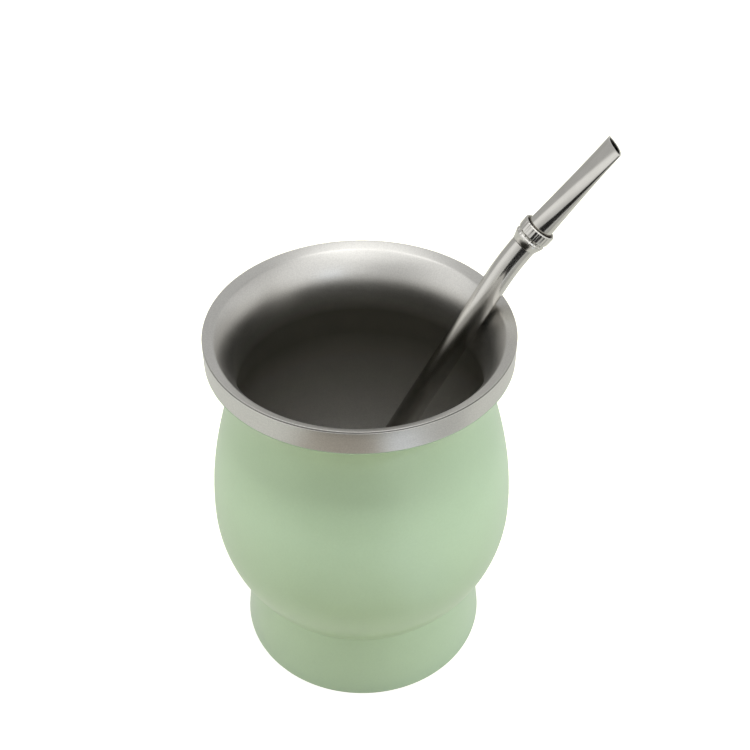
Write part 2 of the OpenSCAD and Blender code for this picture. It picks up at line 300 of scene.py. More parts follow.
def ring_tree():
    """Skins a row of rings. Each point of the input is the middle of a ring, with the ring's
    radius, tilt, flute and notch as attributes."""
    tree, given = new_tree(
        "ring_skin", ("Rings", "Geometry"), ("Segments", "Int"), ("Flutes", "Int"),
        ("Flute Depth", "Float"), ("Notches", "Int"), ("Notch Depth", "Float"))
    rings = place(tree, "GeometryNodeAttributeDomainSize", {0: given["Rings"]}).outputs[0]
    grid = place(tree, "GeometryNodeMeshGrid", {
        "Size X": 1.0, "Size Y": 1.0, "Vertices Y": rings,
        "Vertices X": plus(tree, given["Segments"], 1.0)})
    across = apart(tree, place(tree, "GeometryNodeInputPosition").outputs[0])
    turn = times(tree, plus(tree, across[0], 0.5), 2 * pi)
    row = times(tree, plus(tree, across[1], 0.5), plus(tree, rings, -1.0))
    row = place(tree, "FunctionNodeFloatToInt", {0: row}, rounding_mode="ROUND").outputs[0]

    def at_row(value, kind):
        return place(tree, "GeometryNodeSampleIndex",
                     {"Geometry": given["Rings"], "Value": value, "Index": row},
                     data_type=kind, domain="POINT").outputs[0]

    def kept(name):
        return at_row(place(tree, "GeometryNodeInputNamedAttribute", {"Name": name},
                            data_type="FLOAT").outputs[0], "FLOAT")

    middle = apart(tree, at_row(place(tree, "GeometryNodeInputPosition").outputs[0],
                                "FLOAT_VECTOR"))
    wave = reckon(tree, "COSINE", times(tree, turn, given["Flutes"]))
    flute = times(tree, wave, given["Flute Depth"], kept("flute"))
    cut = reckon(tree, "COSINE", times(tree, turn, given["Notches"]))
    cut = reckon(tree, "POWER", reckon(tree, "MAXIMUM", cut, 0.0), NOTCH_NARROWING)
    notch = times(tree, cut, given["Notch Depth"], kept("notch"))
    radius = reckon(tree, "SUBTRACT", plus(tree, kept("radius"), flute), notch)
    sideways = times(tree, radius, reckon(tree, "COSINE", turn))
    tilt = kept("tilt")
    skin = place(tree, "GeometryNodeSetPosition", {
        "Geometry": grid.outputs["Mesh"],
        "Position": together(
            tree,
            plus(tree, middle[0], times(tree, sideways, reckon(tree, "COSINE", tilt))),
            times(tree, radius, reckon(tree, "SINE", turn)),
            reckon(tree, "SUBTRACT", middle[2],
                   times(tree, sideways, reckon(tree, "SINE", tilt))))})
    closed = place(tree, "GeometryNodeMergeByDistance",
                   {"Geometry": skin.outputs[0], "Distance": SAME_PLACE})
    smooth = place(tree, "GeometryNodeSetShadeSmooth", {"Geometry": closed.outputs[0]})
    return close_tree(tree, smooth.outputs[0], given["Material"])


def hole_tree():
    """Cuts rows of round holes through a wall that is turned about Z."""
    tree, given = new_tree(
        "perforations", ("Wall", "Geometry"), ("Rows", "Int"), ("Holes", "Int"),
        ("Pitch", "Float"), ("Radius", "Float"), ("Reach", "Float"))
    points = place(tree, "GeometryNodePoints", {
        "Count": times(tree, given["Rows"], given["Holes"])}).outputs[0]
    index = place(tree, "GeometryNodeInputIndex").outputs[0]
    row = reckon(tree, "FLOOR", reckon(tree, "DIVIDE", index, given["Holes"]))
    offset = times(tree, reckon(tree, "MODULO", row, 2.0), 0.5)
    turn = times(tree, reckon(tree, "DIVIDE", plus(tree, index, offset), given["Holes"]), 2 * pi)
    middle = times(tree, given["Reach"], 0.5)
    spot = together(
        tree,
        times(tree, middle, reckon(tree, "COSINE", turn)),
        times(tree, middle, reckon(tree, "SINE", turn)),
        times(tree, plus(tree, row, 0.5), given["Pitch"]))
    spread = place(tree, "GeometryNodeSetPosition", {"Geometry": points, "Position": spot})
    drill = place(tree, "GeometryNodeMeshCylinder", {
        "Vertices": HOLE_SIDES, "Radius": given["Radius"], "Depth": middle})
    holes = place(tree, "GeometryNodeInstanceOnPoints", {
        "Points": spread.outputs[0], "Instance": drill.outputs["Mesh"],
        "Rotation": together(tree, 0.0, pi / 2, turn)})
    drilled = place(tree, "GeometryNodeMeshBoolean", {
        "Mesh 1": given["Wall"],
        "Mesh 2": place(tree, "GeometryNodeRealizeInstances", {0: holes.outputs[0]}).outputs[0]},
        operation="DIFFERENCE")
    bent = reckon(tree, "LESS_THAN",
                  place(tree, "GeometryNodeInputMeshEdgeAngle").outputs["Unsigned Angle"],
                  CRISP_EDGE)
    crisp = place(tree, "GeometryNodeSetShadeSmooth",
                  {"Geometry": drilled.outputs[0], "Shade Smooth": bent}, domain="EDGE")
    return close_tree(tree, crisp.outputs[0], given["Material"])


def added(name, data):
    """A new object in the scene."""
    thing = bpy.data.objects.new(name, data)
    bpy.context.scene.collection.objects.link(thing)
    return thing


def shaped(name, mesh, tree, values):
    """Runs a tree on a mesh and returns the result as a plain object."""
    thing = added(name, mesh)
    step = thing.modifiers.new(tree.name, "NODES")
    step.node_group = tree
    for socket in tree.interface.items_tree:
        if socket.item_type == "SOCKET" and socket.in_out == "INPUT" and socket.name in values:
            step[socket.identifier] = values[socket.name]
    ready = thing.evaluated_get(bpy.context.evaluated_depsgraph_get())
    made = bpy.data.meshes.new_from_object(ready)
    thing.modifiers.clear()
    thing.data = made
    made.name = name
    return thing


def ring_piece(name, rings, around, material, flutes=1, flute=0.0, notches=1, notch=0.0):
    """A piece skinned over rings. Each ring is (x, z, radius, tilt, flute, notch)."""
    mesh = bpy.data.meshes.new(name)
    mesh.from_pydata([(r[0], 0.0, r[1]) for r in rings],
                     [(i, i + 1) for i in range(len(rings) - 1)], [])
    for place_in_ring, word in ((2, "radius"), (3, "tilt"), (4, "flute"), (5, "notch")):
        kept = mesh.attributes.new(word, "FLOAT", "POINT")
        kept.data.foreach_set("value", [r[place_in_ring] for r in rings])
    tree = bpy.data.node_groups.get("ring_skin") or ring_tree()
    return shaped(name, mesh, tree, {
        "Segments": around, "Flutes": flutes, "Flute Depth": flute, "Notches": notches,
        "Notch Depth": notch, "Material": material})


def turned(name, outline, around, material, **more):
    """A piece turned about Z from its outline of (radius, height)."""
    return ring_piece(name, [(0.0, z, r, 0.0, 0.0, 0.0) for r, z in outline], around, material,
                      **more)


def ready(piece, slot, *nodes):
    """Fastens a finished piece to the frame, in place of the nodes that it shows."""
    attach(piece, "root")
    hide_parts(*nodes)


# Outlines


def cubic(p, a, b, q, steps):
    """Points of a cubic curve from p to q with handles a and b."""
    return [tuple((1 - t) ** 3 * p[i] + 3 * (1 - t) ** 2 * t * a[i] + 3 * (1 - t) * t * t * b[i]
                  + t ** 3 * q[i] for i in (0, 1))
            for t in (k / steps for k in range(steps + 1))]


def swell(p, q, steps):
    """Points of the arc that leaves p upright and ends at q."""
    across, along = q[0] - p[0], q[1] - p[1]
    radius = (across ** 2 + along ** 2) / (2 * abs(across))
    full = 2 * atan(abs(across / along))
    way, up = (1 if across > 0 else -1), (1 if along > 0 else -1)
    return [(p[0] + way * radius * (1 - cos(full * k / steps)),
             p[1] + up * radius * sin(full * k / steps)) for k in range(steps + 1)]


def soften(path, corners, steps=5):
    """The path with some of its corners rounded: corners gives the index of each and the
    length that the rounding takes from both sides."""
    made = []
    for i, point in enumerate(path):
        take = corners.get(i if i < len(path) - 1 else -1, corners.get(i, 0.0))
        if not take or i in (0, len(path) - 1):
            made.append(point)
            continue
        ends = []
        for other in (path[i - 1], path[i + 1]):
            away = (other[0] - point[0], other[1] - point[1])
            reach = hypot(*away)
            part = min(take, 0.48 * reach) / reach
            ends.append((point[0] + part * away[0], point[1] + part * away[1]))
        for k in range(steps + 1):
            t = k / steps
            made.append(tuple((1 - t) ** 2 * ends[0][n] + 2 * t * (1 - t) * point[n]
                              + t * t * ends[1][n] for n in (0, 1)))
    return made


def beside(path, gap):
    """The path moved to its right by gap, with mitred corners."""
    made = []
    for i, point in enumerate(path):
        sides = []
        for a, b in ((max(i - 1, 0), max(i, 1)),
                     (min(i, len(path) - 2), min(i + 1, len(path) - 1))):
            dx, dz = path[b][0] - path[a][0], path[b][1] - path[a][1]
            reach = hypot(dx, dz)
            sides.append((dz / reach, -dx / reach))
        (ax, az), (bx, bz) = sides
        part = gap / (1 + ax * bx + az * bz)
        made.append((point[0] + part * (ax + bx), point[1] + part * (az + bz)))
    return made


def shell_outline(s):
    """Outside of the shell from under the foot up to the paint's edge, and the foot's radius."""
    band = (s.band_r, s.height - s.band_h)
    neck = (s.neck_r, s.height - s.neck_drop)
    belly = (s.belly_r, s.belly_z)
    waist = (s.waist_r, s.waist_z)
    rise = neck[1] - belly[1]
    slope = atan2(s.foot_r - s.waist_r, s.waist_z)
    inner = s.foot_r - s.foot_round * tan(pi / 4 + slope / 2)
    foot = [(inner + s.foot_round * cos(a), s.foot_round * (1 + sin(a)))
            for a in (-pi / 2 + (pi / 2 + slope) * k / 10 for k in range(11))]
    low = list(reversed(swell(belly, waist, 30)))
    high = cubic(belly, (belly[0], belly[1] + BELLY_PULL * rise),
                 (neck[0], neck[1] - NECK_PULL * rise), neck, 56)
    flare = swell(neck, band, 18)
    path = [(inner - s.foot_ring, 0.0)] + foot
    crease = len(path)
    path = path + low + high[1:] + flare[1:]
    return soften(path, {crease: WAIST_SOFT}), inner


def lining_outline(s):
    """Wetted side of the inner cup, from the top of the lip to the middle of the floor."""
    lip = s.band_r - LIP_BEVEL
    crease = (lip - s.lip_w, s.height - s.lip_drop)
    bore = (s.bore_r, s.height - s.bore_drop)
    belly = (s.belly_r - s.shell_wall - s.hollow - s.lining_wall, s.belly_z + BELLY_LIFT)
    rise, fall = bore[1] - belly[1], belly[1] - s.floor_z
    mouth = list(reversed(swell(bore, crease, 18)))
    wall = cubic(bore, (bore[0], bore[1] - NECK_PULL * rise),
                 (belly[0], belly[1] + BELLY_PULL * rise), belly, 40)
    low = cubic(belly, (belly[0], belly[1] - FLOOR_PULL * fall),
                (s.floor_r + FLOOR_PULL * (belly[0] - s.floor_r), s.floor_z),
                (s.floor_r, s.floor_z), 32)
    flat = [(s.floor_r * (1 - k / 6), s.floor_z) for k in range(1, 7)]
    return mouth + wall[1:] + low[1:] + flat


def plate_outline(s, inner):
    """Underside of the base plate, from its rim to its middle."""
    step = inner - s.foot_ring - 2 * SEAT_GAP
    high = s.shell_wall + s.plate_rise
    path = [(inner - 2 * SEAT_GAP, s.shell_wall), (step, s.shell_wall),
            (step - PLATE_SLOPE, high), (s.dimple_r, high),
            (s.dimple_r - s.dimple, high - s.dimple), (0.0, high - s.dimple)]
    return soften(path, {1: PLATE_SOFT, 2: PLATE_SOFT, 3: DIMPLE_SOFT, 4: DIMPLE_SOFT})


# Drinking tube


def tube_frames(cup, t):
    """Frame of the straight part, frame past the bend, and the distance down to the strainer."""
    crease = (cup.band_r - LIP_BEVEL - cup.lip_w, cup.height - cup.lip_drop)
    bore = (cup.bore_r, cup.height - cup.bore_drop)
    across, along = crease[0] - bore[0], crease[1] - bore[1]
    radius = (across ** 2 + along ** 2) / (2 * across)
    turn = min(atan(cos(t.heading - t.rest_at) / tan(t.lean)), 2 * atan(across / along))
    axis = Vector((cos(t.lean) * cos(t.heading), cos(t.lean) * sin(t.heading), sin(t.lean)))
    along_rim = Vector((-sin(t.rest_at), cos(t.rest_at), 0.0))
    outward = Vector((cos(t.rest_at), sin(t.rest_at), 0.0))
    touch = (bore[0] + radius * (1 - cos(turn))) * outward
    touch.z = bore[1] + radius * sin(turn)
    rest = touch + (t.tube_r + t.rest_gap) * axis.cross(along_rim).normalized()
    straight = (Matrix.Translation(rest) @ Matrix.Rotation(t.heading, 4, "Z")
                @ Matrix.Rotation(pi / 2 - t.lean, 4, "Y"))
    past = (straight @ Matrix.Translation((t.bend_r, 0.0, t.bend_start))
            @ Matrix.Rotation(t.bend, 4, "Y") @ Matrix.Translation((-t.bend_r, 0.0, 0.0)))
    strainer_at = (cup.floor_z + t.rest_gap + t.strainer_r - rest.z) / sin(t.lean)
    return straight, past, strainer_at


def pressed(a, b, half, inset, steps):
    """Section of the mouthpiece, a wide and b deep from its middle and moved in by inset: two
    crown arcs that each turn through half to both sides, joined by two corner arcs."""
    k = 1 / tan(half / 2)
    corner = (b * k - a) / (k - 1)
    crown = (b - corner * cos(half)) / (1 - cos(half))
    drop = crown - b
    r, c = crown - inset, max(corner - inset, LEAST_CORNER)
    if corner - inset > LEAST_CORNER:
        reach = (crown - corner) * sin(half)
    else:
        reach = sqrt((r - c) ** 2 - drop * drop)
        half = atan2(reach, drop)
    points = []
    for side in (1, -1):
        for k in range(steps):
            a = half * (2 * k / steps - 1)
            points.append((side * r * sin(a), side * (r * cos(a) - drop)))
        for k in range(steps // 2):
            a = half + (pi - 2 * half) * k / (steps // 2)
            points.append((side * (reach + c * sin(a)), side * c * cos(a)))
    return points


# Materials


def emptied(owner):
    """The node tree of a new material or world, without its first nodes."""
    owner.use_nodes = True
    owner.node_tree.nodes.clear()
    return owner.node_tree


def blank(name):
    """A material with only its output and a shader, and the object's own coordinates."""
    material = bpy.data.materials.new(name)
    tree = emptied(material)
    shader = place(tree, "ShaderNodeBsdfPrincipled")
    place(tree, "ShaderNodeOutputMaterial", {"Surface": shader.outputs[0]})
    where = place(tree, "ShaderNodeTexCoord").outputs["Object"]
    return material, tree, shader, where


def noise(tree, vector, scale, detail=2.0, roughness=0.5):
    return place(tree, "ShaderNodeTexNoise", {
        "Vector": vector, "Scale": scale, "Detail": detail, "Roughness": roughness}).outputs[0]


def between(tree, factor, low, high, start=0.3, end=0.7):
    """A value that runs from low to high as factor runs from start to end."""
    return place(tree, "ShaderNodeMapRange", {
        "Value": factor, "From Min": start, "From Max": end, "To Min": low,
        "To Max": high}).outputs[0]


def blend_colours(tree, factor, one, other):
    node = place(tree, "ShaderNodeMix", {0: factor}, data_type="RGBA")
    node.inputs["A"].default_value = (*one, 1.0)
    node.inputs["B"].default_value = (*other, 1.0)
    return node.outputs["Result"]


# Paint and satin steel keep their roughness above 0.274: a denoiser takes what is smoother for
# a mirror, and marks the places where a surface crosses that value.


def powder_coat(look):
    """Satin powder coat: a fine orange peel, and a faint drift of shade and gloss."""
    material, tree, shader, where = blank("sage_powder_coat")
    drift = noise(tree, where, 38.0, 3.0)
    fine = noise(tree, where, 1500.0, 3.0, 0.6)
    both = plus(tree, times(tree, drift, 0.6), times(tree, fine, 0.4))
    tint = blend_colours(tree, between(tree, both, 0.0, 1.0, 0.36, 0.64),
                         look.paint_deep, look.paint_light)
    tree.links.new(tint, shader.inputs["Base Color"])
    rough = between(tree, drift, look.paint_rough - 0.02, look.paint_rough + 0.04)
    tree.links.new(rough, shader.inputs["Roughness"])
    peel = noise(tree, where, 900.0, 2.0, 0.5)
    bump = place(tree, "ShaderNodeBump", {"Strength": 0.12, "Distance": 0.05 * MM, "Height": peel})
    tree.links.new(bump.outputs[0], shader.inputs["Normal"])
    shader.inputs["IOR"].default_value = 1.6
    return material


def satin_steel(look):
    """Turned steel with a satin grain: fine rings about Z over a soft cloud of gloss, and a
    painted shade that darkens its colour down inside the cup.
    """
    material, tree, shader, where = blank("turned_steel")
    x, y, z = apart(tree, where)
    radius = reckon(tree, "SQRT", plus(tree, times(tree, x, x), times(tree, y, y)))
    depth = times(tree, plus(tree, z, radius), 26.0)
    rings = noise(tree, together(tree, x, y, depth), 130.0, 4.0, 0.65)
    grain = noise(tree, where, 2600.0, 2.0, 0.6)
    cloud = noise(tree, where, 55.0, 3.0)
    both = plus(tree, times(tree, rings, 0.25), times(tree, grain, 0.75))
    tint = blend_colours(tree, between(tree, both, 0.0, 1.0, 0.38, 0.62), look.steel_deep,
                         look.steel_light)
    inside = reckon(tree, "LESS_THAN", radius, LINING_R)
    below = times(tree, inside, between(tree, z, 1.0, 0.0, ROUGH_SHADE_FULL, ROUGH_SHADE_FROM))
    # Painted shade: below the rim the lining's colour is mixed towards the dark inside colour,
    # standing in for the shade down inside the cup, and it fades out again towards the bottom.
    deep = times(tree, below, between(tree, z, 0.0, 1.0, SHADE_GONE, SHADE_UNTIL))
    matt_floor_or_shaded_steel = place(tree, "ShaderNodeMix", {0: deep, "A": tint}, data_type="RGBA")
    matt_floor_or_shaded_steel.inputs["B"].default_value = (*look.inside_painted_shade, 1.0)
    tree.links.new(matt_floor_or_shaded_steel.outputs["Result"], shader.inputs["Base Color"])
    gloss = plus(tree, times(tree, rings, 0.04), times(tree, cloud, 0.14))
    rough = between(tree, gloss, look.satin_rough - 0.02, look.satin_rough + 0.04, 0.05, 0.13)
    low = times(tree, inside, between(tree, z, 1.0, 0.0, MATT_FULL, MATT_FROM))
    rough = plus(tree, rough, times(tree, below, look.inside_rough),
                 times(tree, low, look.bottom_rough))
    tree.links.new(rough, shader.inputs["Roughness"])
    height = plus(tree, times(tree, rings, 0.15), grain)
    bump = place(tree, "ShaderNodeBump", {
        "Strength": 0.35, "Distance": 0.02 * MM, "Height": height})
    tree.links.new(bump.outputs[0], shader.inputs["Normal"])
    shader.inputs["Metallic"].default_value = 1.0
    return material


def polished_steel(look, name, axes):
    """Polished steel with faint polishing lines along a tube whose frame is axes."""
    material, tree, shader, where = blank(name)
    turn = axes.to_euler()
    local = place(tree, "ShaderNodeMapping", {
        "Vector": where, "Location": axes.translation, "Rotation": turn},
        vector_type="TEXTURE").outputs[0]
    x, y, z = apart(tree, local)
    lines = noise(tree, together(tree, x, y, times(tree, z, 0.035)), 1900.0, 3.0, 0.6)
    cloud = noise(tree, local, 160.0, 3.0)
    tint = blend_colours(tree, between(tree, cloud, 0.0, 1.0), look.polish_deep,
                         look.polish_light)
    tree.links.new(tint, shader.inputs["Base Color"])
    gloss = plus(tree, times(tree, lines, 0.5), times(tree, cloud, 0.5))
    rough = between(tree, gloss, look.polish_rough - 0.02, look.polish_rough + 0.06, 0.35, 0.65)
    tree.links.new(rough, shader.inputs["Roughness"])
    bump = place(tree, "ShaderNodeBump", {
        "Strength": 0.04, "Distance": 0.01 * MM, "Height": lines})
    tree.links.new(bump.outputs[0], shader.inputs["Normal"])
    shader.inputs["Metallic"].default_value = 1.0
    return material


def finish(context, kind):
    """The material of that kind, made the first time that it is asked for."""
    found = bpy.data.materials.get(kind)
    if found:
        return found
    look = context.scene.mate_finishes
    if kind == "sage_powder_coat":
        return powder_coat(look)
    if kind == "turned_steel":
        return satin_steel(look)
    straight, past, _ = tube_frames(context.scene.mate_sizes, context.scene.mate_tube)
    return polished_steel(look, kind, past if kind == "polished_mouthpiece" else straight)


# Operators


class MATE_OT_shell(Operator):
    """Turn the outer shell: the painted wall and the bare band"""

    bl_idname = "mate.shell"
    bl_label = "Outer shell"

    def execute(self, context):
        s = context.scene.mate_sizes
        path, _ = shell_outline(s)
        edge = s.height - s.band_h
        gap, wall = s.paint_gap, s.shell_wall
        inside = list(reversed(beside(path, -wall)))
        outside = path[:-1] + [
            (s.band_r - 0.02 * MM, edge - 0.16 * MM), (s.band_r - 0.3 * gap, edge - 0.07 * MM),
            (s.band_r - gap, edge)]
        painted = turned("painted_wall", outside + [(s.band_r - wall, edge)] + inside[1:]
                         + [path[0]], s.around, finish(context, "sage_powder_coat"))
        ready(painted, "painted_shell", "outer_shell")
        top = s.height - s.lining_wall
        rim = soften([(s.band_r - wall, edge), (s.band_r - gap, edge),
                      (s.band_r, edge + 0.22 * MM), (s.band_r, edge + 0.3 * s.band_h),
                      (s.band_r, edge + 0.6 * s.band_h), (s.band_r, top),
                      (s.band_r - LIP_BEVEL, top), (s.band_r - LIP_BEVEL - s.seam, top - s.seam),
                      (s.band_r - wall, top - s.seam), (s.band_r - wall, edge)],
                     {2: FOOT_SOFT, 5: TOP_SOFT, 6: SEAM_SOFT})
        ready(turned("bare_band", rim, s.around, finish(context, "turned_steel")),
              "satin_steel", "outer_shell")
        return {"FINISHED"}


class MATE_OT_lining(Operator):
    """Turn the inner cup with its sloping lip"""

    bl_idname = "mate.lining"
    bl_label = "Inner cup"

    def execute(self, context):
        s = context.scene.mate_sizes
        wet = lining_outline(s)
        dry = list(reversed(beside(wet, -s.lining_wall)))
        lip = s.band_r - LIP_BEVEL
        under = s.height - s.lining_wall
        flange = s.band_r - s.shell_wall - SEAT_GAP
        path = [(flange, under), (lip - s.seam, under), (lip, under + 0.6 * s.seam),
                (lip, s.height)] + wet + dry[1:] + [(flange, under)]
        path = soften(path, {3: LIP_SOFT, 4: MOUTH_SOFT})
        ready(turned("lining", path, s.around, finish(context, "turned_steel")),
              "satin_steel", "inner_cup")
        return {"FINISHED"}


class MATE_OT_plate(Operator):
    """Turn the recessed base plate"""

    bl_idname = "mate.plate"
    bl_label = "Base plate"

    def execute(self, context):
        s = context.scene.mate_sizes
        under = plate_outline(s, shell_outline(s)[1])
        above = list(reversed(beside(under, s.plate_t)))
        path = list(reversed(under + above + [under[0]]))
        ready(turned("recessed_plate", path, s.around, finish(context, "turned_steel")),
              "satin_steel", "base_plate")
        return {"FINISHED"}


class MATE_OT_tube(Operator):
    """Sweep the tube along its straight part and its bend"""

    bl_idname = "mate.tube"
    bl_label = "Tube"

    def execute(self, context):
        t = context.scene.mate_tube
        straight, _, strainer_at = tube_frames(context.scene.mate_sizes, t)
        low = strainer_at + t.strainer_len + t.taper_len
        end = t.collar_h / 2 - t.collar_lap - SEAT_GAP
        line = [(0.0, low + (t.bend_start - low) * k / 24, 0.0) for k in range(25)]
        line += [(t.bend_r * (1 - cos(a)), t.bend_start + t.bend_r * sin(a), a)
                 for a in (t.bend * k / 16 for k in range(1, 17))]
        x, z, tilt = line[-1]
        line.append((x + end * sin(tilt), z + end * cos(tilt), tilt))
        inner = t.tube_r - t.tube_wall
        rings = [(x, z, t.tube_r, a, 0.0, 0.0) for x, z, a in line]
        rings += [(x, z, inner, a, 0.0, 0.0) for x, z, a in reversed(line)]
        rings.append(rings[0])
        piece = ring_piece("bent_tube", rings, t.around, finish(context, "polished_tube"))
        piece.data.transform(straight)
        ready(piece, "polished_steel", "tube")
        return {"FINISHED"}


class MATE_OT_collar(Operator):
    """Turn the collar with its groove, notches and flutes"""

    bl_idname = "mate.collar"
    bl_label = "Collar"

    def execute(self, context):
        t = context.scene.mate_tube
        _, past, _ = tube_frames(context.scene.mate_sizes, t)
        r, bore, g, top = t.collar_r, t.tube_r + t.slip, t.groove, t.collar_h - t.collar_trim
        low, mid, soft = r - COLLAR_STEP, 0.4 * t.collar_h, COLLAR_SOFT
        cone = cubic((bore + 0.05 * MM, 0.0), (bore + 0.3 * MM, 0.6 * t.collar_cone),
                     (r - 0.35 * MM, 1.1 * t.collar_cone), (low, mid - g), 12)
        band = soften([(low, mid - g), (r - g, mid), (r - g, mid + g),
                       (r - 0.04 * MM, mid + 2 * g), (r - 0.02 * MM, 0.8 * t.collar_h),
                       (r, top - BEVEL_H), (r - BEVEL_W, top), (r - BEVEL_W - LAND, top),
                       (bore, top - t.collar_flare), (bore, 0.0)],
                      {1: soft, 2: soft, 3: 0.16 * MM, 5: soft, 6: soft, 7: soft})
        path = [(bore, 0.0)] + cone + band[1:]
        rings = []
        for radius, z in path:
            outside = radius > r - 0.5 * MM and z > mid - 1.2 * g
            upper = min(1.0, max(0.0, (z - mid - g) / FLUTE_FADE)) if outside else 0.0
            notch = 1.0 if outside and z < mid + 2.2 * g else 0.0
            rings.append((0.0, z - t.collar_lap, radius, 0.0, upper, notch))
        piece = ring_piece("ribbed_collar", rings, 8 * t.flutes, finish(context, "polished_tube"),
                           flutes=t.flutes, flute=t.flute, notches=t.notches, notch=t.notch)
        piece.data.transform(past)
        ready(piece, "polished_steel", "collar")
        return {"FINISHED"}


class MATE_OT_mouthpiece(Operator):
    """Loft the mouthpiece from a round tube to its pressed, lens-shaped mouth"""

    bl_idname = "mate.mouthpiece"
    bl_label = "Mouthpiece"

    def execute(self, context):
        t = context.scene.mate_tube
        _, past, _ = tube_frames(context.scene.mate_sizes, t)
        start = t.collar_h / 2 - t.collar_lap + SEAT_GAP
        straight = t.collar_h / 2 - SEAT_GAP
        full = straight + t.mouth_len
        edge, rings, steps, edge_steps = MOUTH_EDGE, 56, 24, 6
        last = 2 * atan((t.mouth_half_t - t.mouth_corner) / (t.mouth_half_w - t.mouth_corner))

        def section(level, inset):
            way = max(0.0, (level - straight) / t.mouth_len)
            points = pressed(t.tube_r + (t.mouth_half_w - t.tube_r) * way,
                             t.tube_r + (t.mouth_half_t - t.tube_r) * way,
                             ROUND_HALF + (last - ROUND_HALF) * way, inset, steps)
            return [(y, -x, start + level) for x, y in points]

        wall = [0.0] + [straight + (t.mouth_len - edge) * k / rings for k in range(rings + 1)]
        sections = [section(level, 0.0) for level in wall]
        for k in range(1, edge_steps + 1):
            a = pi / 2 * k / edge_steps
            sections.append(section(full - edge * (1 - sin(a)), edge * (1 - cos(a))))
        for k in range(edge_steps + 1):
            a = pi / 2 * (1 - k / edge_steps)
            sections.append(section(full - edge * (1 - sin(a)),
                                    t.tube_wall - edge * (1 - cos(a))))
        sections += [section(level, t.tube_wall) for level in reversed(wall[:-1])]
        round_count = len(sections[0])
        points = [p for row in sections for p in row]
        faces = []
        for i in range(len(sections)):
            for j in range(round_count):
                a, b = i * round_count + j, i * round_count + (j + 1) % round_count
                c = (i + 1) % len(sections) * round_count
                faces.append((a, b, c + (j + 1) % round_count, c + j))
        mesh = bpy.data.meshes.new("pressed_mouthpiece")
        mesh.from_pydata(points, [], faces)
        mesh.shade_smooth()
        mesh.materials.append(finish(context, "polished_mouthpiece"))
        mesh.transform(past)
        ready(added("pressed_mouthpiece", mesh), "polished_steel", "mouthpiece")
        return {"FINISHED"}


class MATE_OT_strainer(Operator):
    """Turn the strainer and drill its perforations"""

    bl_idname = "mate.strainer"
    bl_label = "Strainer"

    def execute(self, context):
        t = context.scene.mate_tube
        straight, _, strainer_at = tube_frames(context.scene.mate_sizes, t)
        r, wall, sleeve = t.strainer_r, t.strainer_wall, t.tube_r + t.slip
        top = t.strainer_len + t.taper_len

        def path(inset):
            dome = [((r - inset) * sin(a), -(r - inset) * cos(a))
                    for a in (pi / 2 * k / 16 for k in range(17))]
            body = [(r - inset, t.strainer_len * k / 4) for k in range(1, 5)]
            return dome + body + [(sleeve + wall - inset, top)]

        inner = list(reversed(path(wall)[:-1]))
        outline = path(0.0) + [
            (sleeve + wall, top + t.sleeve_len), (sleeve, top + t.sleeve_len), (sleeve, top),
            (t.tube_r - t.tube_wall, top)] + inner
        material = finish(context, "polished_tube")
        piece = turned("perforated_strainer", outline, STRAINER_SIDES, material)
        tree = bpy.data.node_groups.get("perforations") or hole_tree()
        mesh = piece.data
        bpy.data.objects.remove(piece)
        mesh.name = "strainer_wall"
        piece = shaped("perforated_strainer", mesh, tree, {
            "Rows": t.hole_rows, "Holes": t.hole_count, "Pitch": t.strainer_len / t.hole_rows,
            "Radius": t.hole_r, "Reach": DRILL_REACH * r, "Material": material})
        piece.data.transform(Matrix(straight) @ Matrix.Translation((0.0, 0.0, strainer_at)))
        ready(piece, "polished_steel", "strainer")
        return {"FINISHED"}


# Stage


# Where the camera stands, in metres, and how far it looks down, to the right and leans over, in
# degrees, as fitted to the photograph
CAMERA_AT = (0.0, -0.2569, 0.3093)
CAMERA_TURN = (39.59, 0.92, -0.23)
SENSOR = 36.0
AIM = Vector((0.0, 0.0, 70 * MM))

# Brightness of the light tent at each azimuth in degrees
TENT_R = 1.3
TENT = ((-180, 1.05), (-160, 1.00), (-144, 0.80), (-127, 0.62), (-108, 0.68), (-88, 1.00),
        (-60, 1.10), (0, 0.97), (30, 0.70), (55, 0.54), (90, 0.62), (115, 0.54), (161, 0.54),
        (171, 1.00))

# Soft patches of the tent: high up in front, overhead, and a dull one on the right. Each is its
# direction, the angles from it where it starts and where it is full, and what it adds.
PATCHES = (((-0.12, -0.38, 0.92), 38, 24, 0.65), ((0.0, -0.10, 1.0), 18, 10, 0.25),
           ((0.68, 0.0, 0.73), 30, 12, -0.36))

# Cards that lie flat, as x0, y0, x1, y1 and height in mm, and upright ones, as x0, z0, x1, z1
# and y in mm, each with its colour
BLACK = (0.02, 0.02, 0.02)
FLAT_CARDS = {
    "floor_sheet": ((-1300, -1300, 1300, 1300, 0.6), (0.75, 0.76, 0.71)),
    "brown_card": ((-100, -195, 30, -60, 1.0), (0.46, 0.42, 0.36)),
    "dark_sheet": ((-250, -480, 130, -195, 1.2), BLACK),
    "blue_card": ((42, -180, 92, -60, 1.4), (0.88, 0.92, 0.97)),
    "grey_card": ((95, -195, 230, -50, 1.6), (0.52, 0.52, 0.50)),
}
UPRIGHT_CARDS = {
    "dark_card": ((-250, 0, 100, 165, -480), BLACK),
    "rear_card": ((-760, 0, 20, 240, 620), (0.50, 0.50, 0.48)),
    "pale_card": ((130, 80, 330, 270, -500), (1.35, 1.43, 1.52)),
}

# Side lamps: place and size in metres, power as a multiple of the side lamps' own, and tint
SIDE_LAMPS = {
    "front": ((0.0, -0.7, 0.35), 0.5, 0.25, (1.0, 1.0, 1.0)),
    "left": ((-0.85, -0.02, 0.28), 0.5, 2.2, (1.0, 0.97, 0.88)),
    "right": ((0.85, -0.08, 0.28), 0.6, 4.2, (0.94, 0.98, 1.0)),
}

FLOOR_HALF = 4.0
FLOOR_GLOW = 0.95


